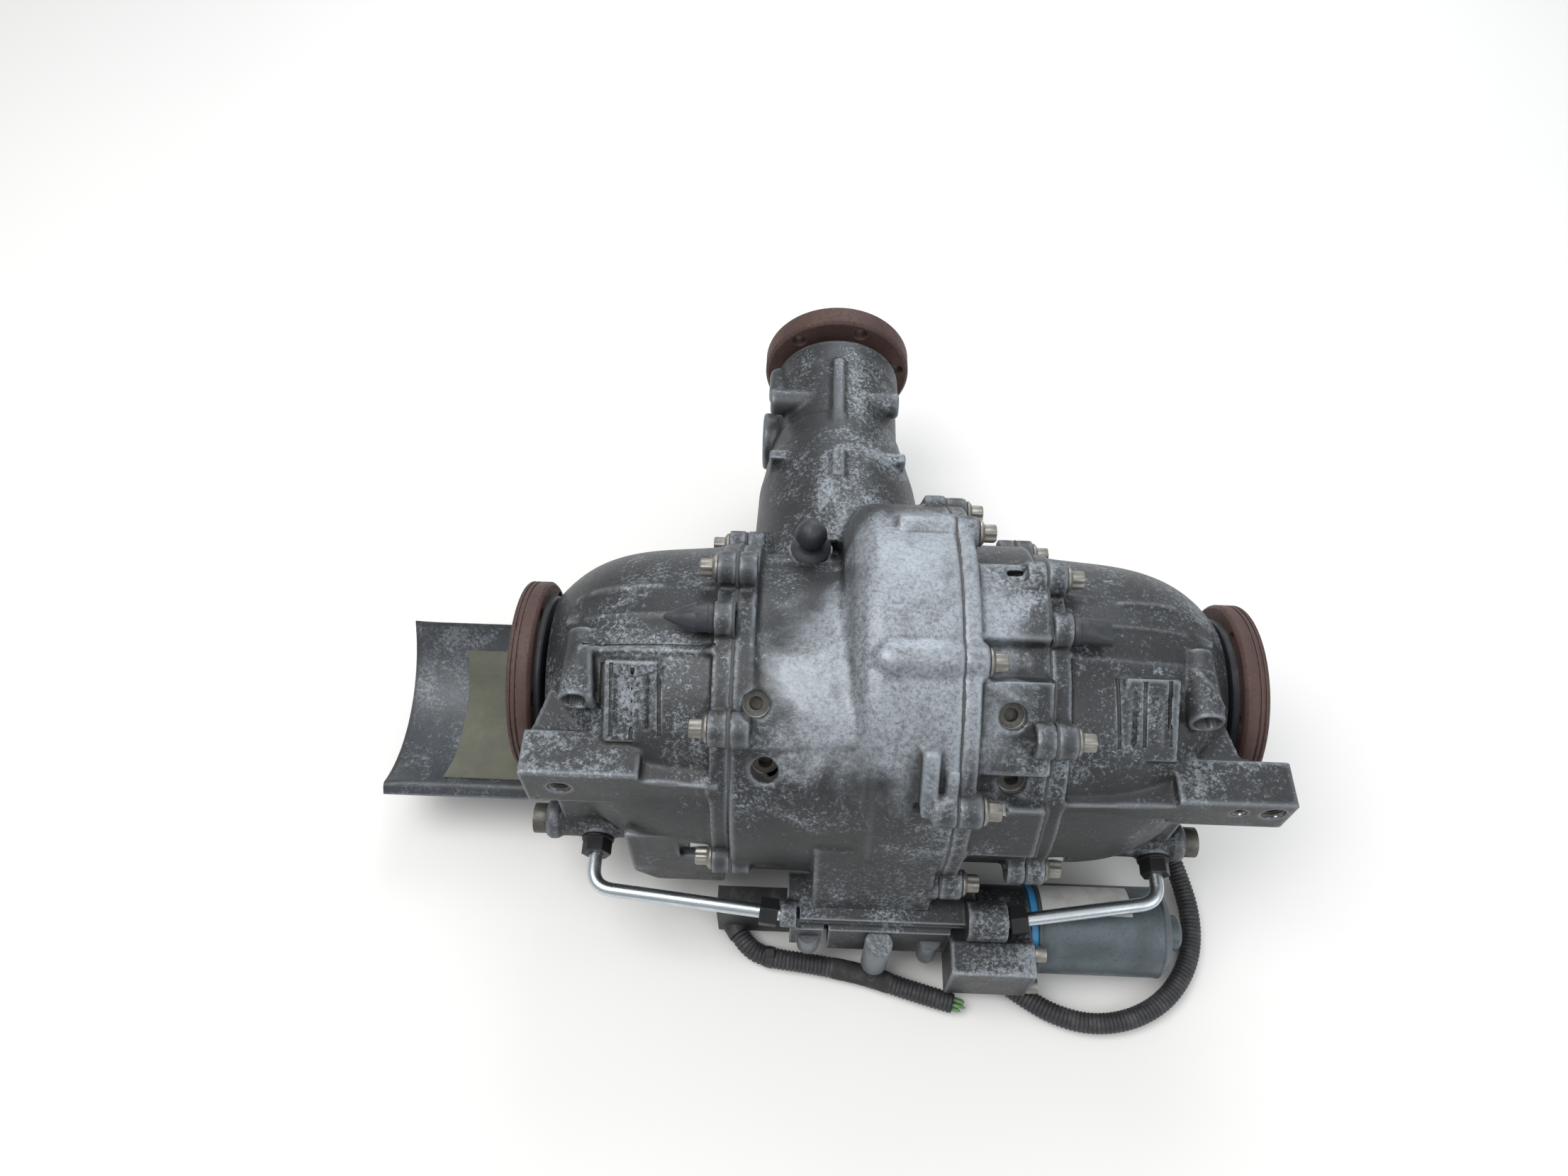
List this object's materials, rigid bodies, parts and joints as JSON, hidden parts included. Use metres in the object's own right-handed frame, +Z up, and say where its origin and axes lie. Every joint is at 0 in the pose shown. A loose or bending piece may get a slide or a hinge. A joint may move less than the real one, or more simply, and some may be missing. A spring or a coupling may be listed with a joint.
{
  "type": "rear differential",
  "caption": "Car rear differential with bevel gear set, a clutch unit on each side, flanged input and outputs, electric oil pump, oil pipes and wiring.",
  "frame": {"origin": "centre of the input flange's front face, on the pinion axis", "axes": "+Y forwards out of the input flange along the pinion, +X to the right output, +Z up"},
  "size_m": [0.555, 0.4726, 0.2367],
  "materials": {
    "cast_aluminium": "sand-cast, oxidised and oily",
    "rusted_steel": "turned steel with a brown rust film",
    "bolt_steel": "zinc plated, dulled, some rusted",
    "gear_steel": "ground steel",
    "bearing_steel": "polished steel",
    "case_iron": "cast iron, machined faces",
    "machined_steel": "machined steel",
    "friction_lining": "paper friction lining",
    "black_rubber": "moulded black rubber",
    "plug_steel": "plated plug",
    "motor_paint": "blue-grey painted can",
    "blue_seal": "blue rubber seal",
    "plated_pipe": "bright zinc plated tube",
    "black_nut": "black phosphated nut",
    "shield_aluminium": "pressed sheet, dulled",
    "shield_pad": "olive-grey insulating pad",
    "conduit_plastic": "corrugated black conduit",
    "black_plastic": "moulded black plastic"
  },
  "bodies": {
    "housing": {"carrier_bearing_cups": "bearing_steel", "centre_breather": "black_rubber", "centre_flange_bolts": "bolt_steel", "fill_plugs": "plug_steel", "gallery_plugs": "plug_steel", "heat_shield": "shield_aluminium", "heat_shield_pad": "shield_pad", "intermediate_housing": "cast_aluminium", "left_breather": "black_rubber", "left_oil_pipe": "plated_pipe", "left_side_cover": "cast_aluminium", "main_housing": "cast_aluminium", "motor_can": "motor_paint", "motor_seal_ring": "blue_seal", "oil_manifold": "cast_aluminium", "output_bearings": "bearing_steel", "pinion_bearing_cups": "bearing_steel", "pipe_nuts": "black_nut", "pump_block": "cast_aluminium", "right_breather": "black_rubber", "right_oil_pipe": "plated_pipe", "right_side_cover": "cast_aluminium", "shaft_seals": "black_rubber", "shield_screws": "bolt_steel", "side_cover_bolts": "bolt_steel", "solenoid_valves": "cast_aluminium", "unit_bolts": "bolt_steel", "wiring_loop": "conduit_plastic", "wiring_plugs": "black_plastic", "wiring_trunk": "conduit_plastic"},
    "carrier": {"differential_case": "case_iron", "ring_gear": "gear_steel", "ring_gear_bolts": "bolt_steel", "cross_pin": "gear_steel", "carrier_bearing_cones": "bearing_steel"},
    "pinion": {"pinion_shaft": "gear_steel", "input_flange": "rusted_steel", "pinion_nut": "machined_steel", "pinion_spacer": "machined_steel", "pinion_bearing_cones": "bearing_steel"},
    "left_output": {"left_output_shaft": "gear_steel", "left_output_flange": "rusted_steel", "left_dust_ring": "black_rubber", "left_side_gear": "gear_steel", "left_friction_plates": "friction_lining"},
    "right_output": {"right_output_shaft": "gear_steel", "right_output_flange": "rusted_steel", "right_dust_ring": "black_rubber", "right_side_gear": "gear_steel", "right_friction_plates": "friction_lining"},
    "upper_spider": {"upper_spider_gear": "gear_steel"},
    "lower_spider": {"lower_spider_gear": "gear_steel"},
    "left_drum": {"left_clutch_drum": "machined_steel", "left_steel_plates": "machined_steel"},
    "right_drum": {"right_clutch_drum": "machined_steel", "right_steel_plates": "machined_steel"},
    "left_piston": {"left_clutch_piston": "machined_steel"},
    "right_piston": {"right_clutch_piston": "machined_steel"},
    "motor_rotor": {"motor_rotor": "gear_steel"}
  },
  "joints": [
    {"name": "carrier_spin", "type": "hinge", "parent": "housing", "child": "carrier", "pos_m": [0.03, -0.29, 0], "axis": [1, 0, 0], "continuous": true},
    {"name": "pinion_spin", "type": "hinge", "parent": "housing", "child": "pinion", "pos_m": [0, -0.29, 0], "axis": [0, 1, 0], "continuous": true},
    {"name": "left_output_spin", "type": "hinge", "parent": "carrier", "child": "left_output", "pos_m": [0.03, -0.29, 0], "axis": [1, 0, 0], "continuous": true},
    {"name": "right_output_spin", "type": "hinge", "parent": "carrier", "child": "right_output", "pos_m": [0.03, -0.29, 0], "axis": [1, 0, 0], "continuous": true},
    {"name": "upper_spider_spin", "type": "hinge", "parent": "carrier", "child": "upper_spider", "pos_m": [0.007, -0.29, 0], "axis": [0, 0, 1], "continuous": true},
    {"name": "lower_spider_spin", "type": "hinge", "parent": "carrier", "child": "lower_spider", "pos_m": [0.007, -0.29, 0], "axis": [0, 0, 1], "continuous": true},
    {"name": "left_drum_spin", "type": "hinge", "parent": "housing", "child": "left_drum", "pos_m": [0.03, -0.29, 0], "axis": [1, 0, 0], "continuous": true},
    {"name": "right_drum_spin", "type": "hinge", "parent": "housing", "child": "right_drum", "pos_m": [0.03, -0.29, 0], "axis": [1, 0, 0], "continuous": true},
    {"name": "left_piston_slide", "type": "slide", "parent": "housing", "child": "left_piston", "axis": [1, 0, 0], "range_m": [0, 0.0015]},
    {"name": "right_piston_slide", "type": "slide", "parent": "housing", "child": "right_piston", "axis": [-1, 0, 0], "range_m": [0, 0.0015]},
    {"name": "motor_spin", "type": "hinge", "parent": "housing", "child": "motor_rotor", "pos_m": [0.17, -0.413, -0.09], "axis": [1, 0, 0], "continuous": true}
  ],
  "couplings": [
    {"joint": "pinion_spin", "follows": "carrier_spin", "ratio": -3.5455},
    {"joint": "left_drum_spin", "follows": "carrier_spin", "ratio": 1.1},
    {"joint": "right_drum_spin", "follows": "carrier_spin", "ratio": 1.1},
    {"joint": "right_output_spin", "follows": "left_output_spin", "ratio": -1},
    {"joint": "upper_spider_spin", "follows": "left_output_spin", "ratio": 1.6},
    {"joint": "lower_spider_spin", "follows": "left_output_spin", "ratio": -1.6}
  ]
}
